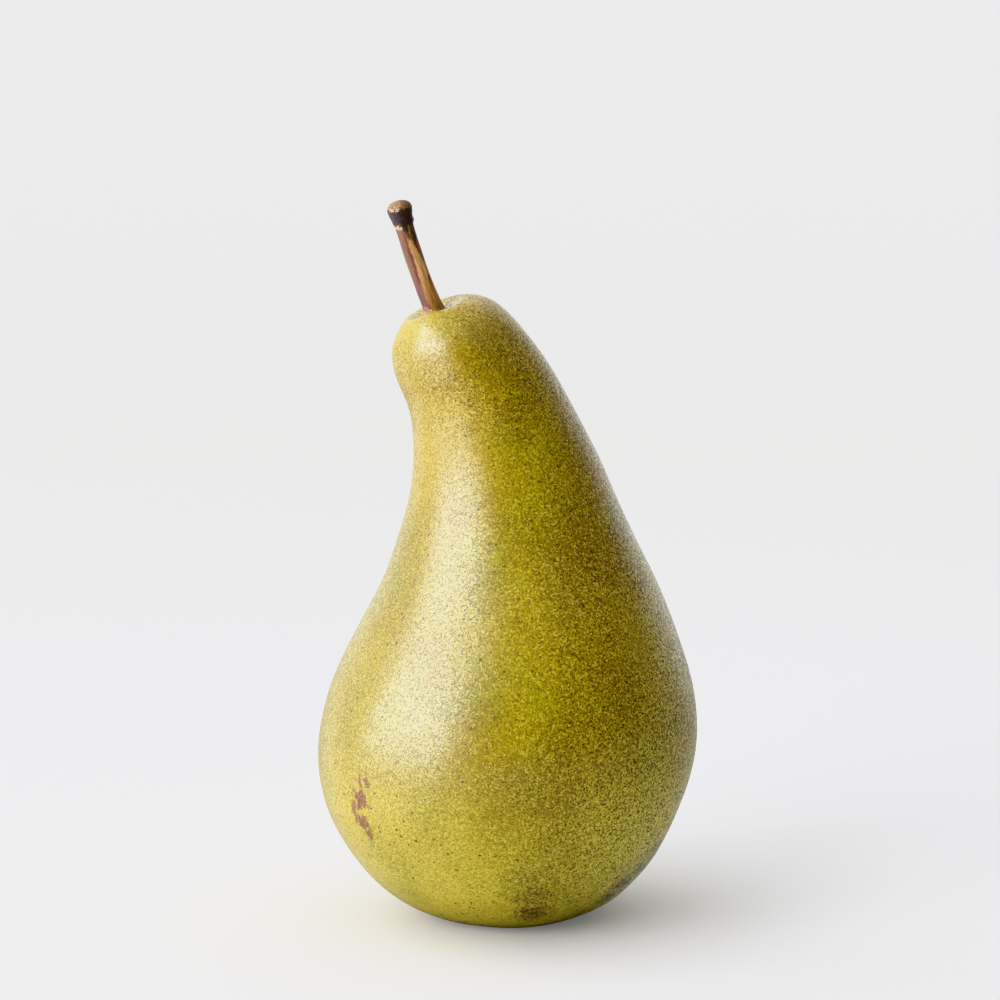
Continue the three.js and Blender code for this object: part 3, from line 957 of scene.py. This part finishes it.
calyxShape = {
    "middle": (0.18, 0.04),     # all sizes here in mm
    # radius, height
    "cup": (
        (1.38, 7.15), (1.4, 5.0), (1.7, 4.5), (1.88, 3.95), (1.76, 3.5), (1.45, 3.6), (1.2, 4.0), (0.6, 4.25),
    ),
    "cupSides": 30,
    "sepals": 5,
    "firstTurn": 21.8,      # degrees from +X
    "line": ((1.2, 4.0), (1.8, 3.1), (2.1, 2.1), (2.75, 1.25)),     # out and up, from the cup to the tip
    "halfWidths": (0.85, 1.1, 0.95, 0.55, 0.1),
    "thickness": 0.26,
    "curl": 0.28,
    "wave": 0.12,
    "stamens": 13,
    "stamenLength": 2.1,
    "stamenRadius": 0.09,
    "seed": 7,
}


def spline(points, share):
    # a smooth line through the points, from share 0 to share 1
    points = [Vector(point) for point in points]
    place = min(share, 0.9999) * (len(points) - 1)
    index = int(place)
    part = place - index
    first, last = points[index], points[index + 1]
    before = points[index - 1] if index else first * 2 - last
    after = points[index + 2] if index + 2 < len(points) else last * 2 - first
    return 0.5 * (
        2 * first + (last - before) * part
        + (2 * before - 5 * first + 4 * last - after) * part ** 2
        + (3 * first - before - 3 * last + after) * part ** 3
    )


def makeCup(shape):
    clearSelection()
    radius, height = shape["cup"][0]
    bpy.ops.mesh.primitive_circle_add(
        vertices=shape["cupSides"], radius=radius * mm, fill_type="NGON", location=(0, 0, height * mm),
    )
    piece = bpy.context.object
    bpy.ops.object.transform_apply(location=True)
    bpy.ops.object.mode_set(mode="EDIT")
    bpy.ops.mesh.select_all(action="SELECT")
    for nextRadius, nextHeight in shape["cup"][1:]:
        bpy.ops.mesh.extrude_region_move(TRANSFORM_OT_translate={"value": (0, 0, (nextHeight - height) * mm)})
        ratio = nextRadius / radius
        bpy.ops.transform.resize(value=(ratio, ratio, 1), center_override=(0, 0, nextHeight * mm))
        radius, height = nextRadius, nextHeight
    bpy.ops.mesh.select_all(action="SELECT")
    bpy.ops.mesh.normals_make_consistent(inside=False)
    bpy.ops.object.mode_set(mode="OBJECT")
    for vertex in piece.data.vertices:
        if vertex.co.z < 4.9 * mm:
            vertex.co *= 1 + 0.06 * noise.noise(vertex.co / (0.9 * mm))
    addModifier(piece, "SUBSURF", levels=1, render_levels=1)
    return piece


def makeSepal(shape):
    clearSelection()
    bpy.ops.mesh.primitive_grid_add(x_subdivisions=14, y_subdivisions=8, size=2, location=(0, 0, 0))
    piece = bpy.context.object
    widths = [(width, 0) for width in shape["halfWidths"]]
    for vertex in piece.data.vertices:
        share, side = (vertex.co.x + 1) / 2, vertex.co.y
        out, up = spline(shape["line"], share)
        halfWidth = max(0.08, spline(widths, share).x)
        wave = shape["wave"] * noise.noise(Vector((share * 4, side * 2, 1.5)))
        lift = shape["curl"] * side * side * (1 - share) + wave
        vertex.co = Vector((out - lift, side * halfWidth, up + 0.5 * lift)) * mm
    addModifier(piece, "SOLIDIFY", thickness=shape["thickness"] * mm, offset=0)
    addModifier(piece, "SUBSURF", levels=1, render_levels=1)
    return piece


def makeStamen(shape):
    clearSelection()
    length = shape["stamenLength"] * mm
    bpy.ops.mesh.primitive_cylinder_add(
        vertices=8, radius=shape["stamenRadius"] * mm, depth=length, location=(0, 0, 0),
    )
    piece = bpy.context.object
    bpy.ops.object.mode_set(mode="EDIT")
    bpy.ops.mesh.select_all(action="DESELECT")
    mesh = bmesh.from_edit_mesh(piece.data)
    upright = [edge for edge in mesh.edges if abs(edge.verts[0].co.z - edge.verts[1].co.z) > length / 2]
    bmesh.ops.subdivide_edges(mesh, edges=upright, cuts=7)
    for vertex in mesh.verts:
        share = 0.5 - vertex.co.z / length
        swell = 1.0 - 0.35 * share + 1.1 * math.exp(-((share - 0.94) / 0.06) ** 2)
        vertex.co.x = vertex.co.x * swell + 0.35 * mm * share * share
        vertex.co.y *= swell
    bmesh.update_edit_mesh(piece.data)
    bpy.ops.object.mode_set(mode="OBJECT")
    return piece


def copyOf(piece):
    made = piece.copy()
    made.data = piece.data.copy()
    bpy.context.scene.collection.objects.link(made)
    return made


def makeCalyx(shape):
    draw = random.Random(shape["seed"])
    pieces = [makeCup(shape)]
    sepal = makeSepal(shape)
    for index in range(shape["sepals"]):
        blade = copyOf(sepal)
        turn = math.radians(shape["firstTurn"] + 360 * index / shape["sepals"])
        flop = Matrix.Rotation(math.radians(draw.uniform(-6, 6)), 4, "Y")
        stretch = Matrix.Diagonal((1, draw.uniform(0.88, 1.05), draw.uniform(0.96, 1.02), 1))
        blade.data.transform(Matrix.Rotation(turn, 4, "Z") @ stretch @ flop)
        pieces.append(blade)
    stamen = makeStamen(shape)
    for index in range(shape["stamens"]):
        thread = copyOf(stamen)
        turn = 2 * math.pi * (index + draw.uniform(-0.3, 0.3)) / shape["stamens"]
        lean = math.radians(draw.uniform(4, 22))
        out = draw.uniform(0.55, 1.15) * mm
        place = Matrix.Translation((out, 0, 3.4 * mm))
        thread.data.transform(Matrix.Rotation(turn, 4, "Z") @ place @ Matrix.Rotation(-lean, 4, "Y"))
        pieces.append(thread)
    for spare in (sepal, stamen):
        bpy.data.objects.remove(spare)
    clearSelection()
    for piece in pieces:
        piece.select_set(True)
    bpy.context.view_layer.objects.active = pieces[0]
    bpy.ops.object.join()
    calyx = bpy.context.object
    calyx.name = "pearCalyx"
    x, y = shape["middle"]
    calyx.data.transform(Matrix.Translation((x * mm, y * mm, 0)))
    bpy.ops.object.shade_smooth()
    return calyx


calyxLook = {
    "dark": "2f2018",
    "light": "6d5138",
    "dusty": "8f7a5e",
    # noise: how many per metre, its detail, and the levels that become 0 and 1
    "veins": (1500.0, 4.0, 0.3, 0.7),
    "dust": (4200.0, 2.0, 0.5, 0.75),
}


def makeDriedLeaf(look):
    material, tree, shader = newMaterial("driedCalyx")
    where = addNode(tree, "TexCoord").outputs["Object"]
    z = addNode(tree, "SeparateXYZ", {0: where}).outputs[2]
    veins = mottled(tree, where, look["veins"])
    dust = mottled(tree, where, look["dust"])
    colour = mixColours(tree, veins, tint(look["dark"]), tint(look["light"]))
    colour = mixColours(tree, calc(tree, "MULTIPLY", dust, 0.5), colour, tint(look["dusty"]))
    colour = mixColours(tree, remap(tree, z, 2.4 * mm, 1.2 * mm, 0.0, 0.6), colour, tint(look["dark"]))
    tree.links.new(colour, shader.inputs["Base Color"])
    tree.links.new(remap(tree, veins, 0.0, 1.0, 0.7, 0.92), shader.inputs["Roughness"])
    relief = calc(tree, "ADD", veins, calc(tree, "MULTIPLY", dust, 0.4))
    bump = addNode(tree, "Bump", {"Height": relief, "Strength": 0.7, "Distance": 0.06 * mm})
    tree.links.new(bump.outputs[0], shader.inputs["Normal"])
    return material


calyx = makeCalyx(calyxShape)
calyx.data.materials.clear()
calyx.data.materials.append(makeDriedLeaf(calyxLook))
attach(calyx, "root")
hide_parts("calyx")
print("calyx made")
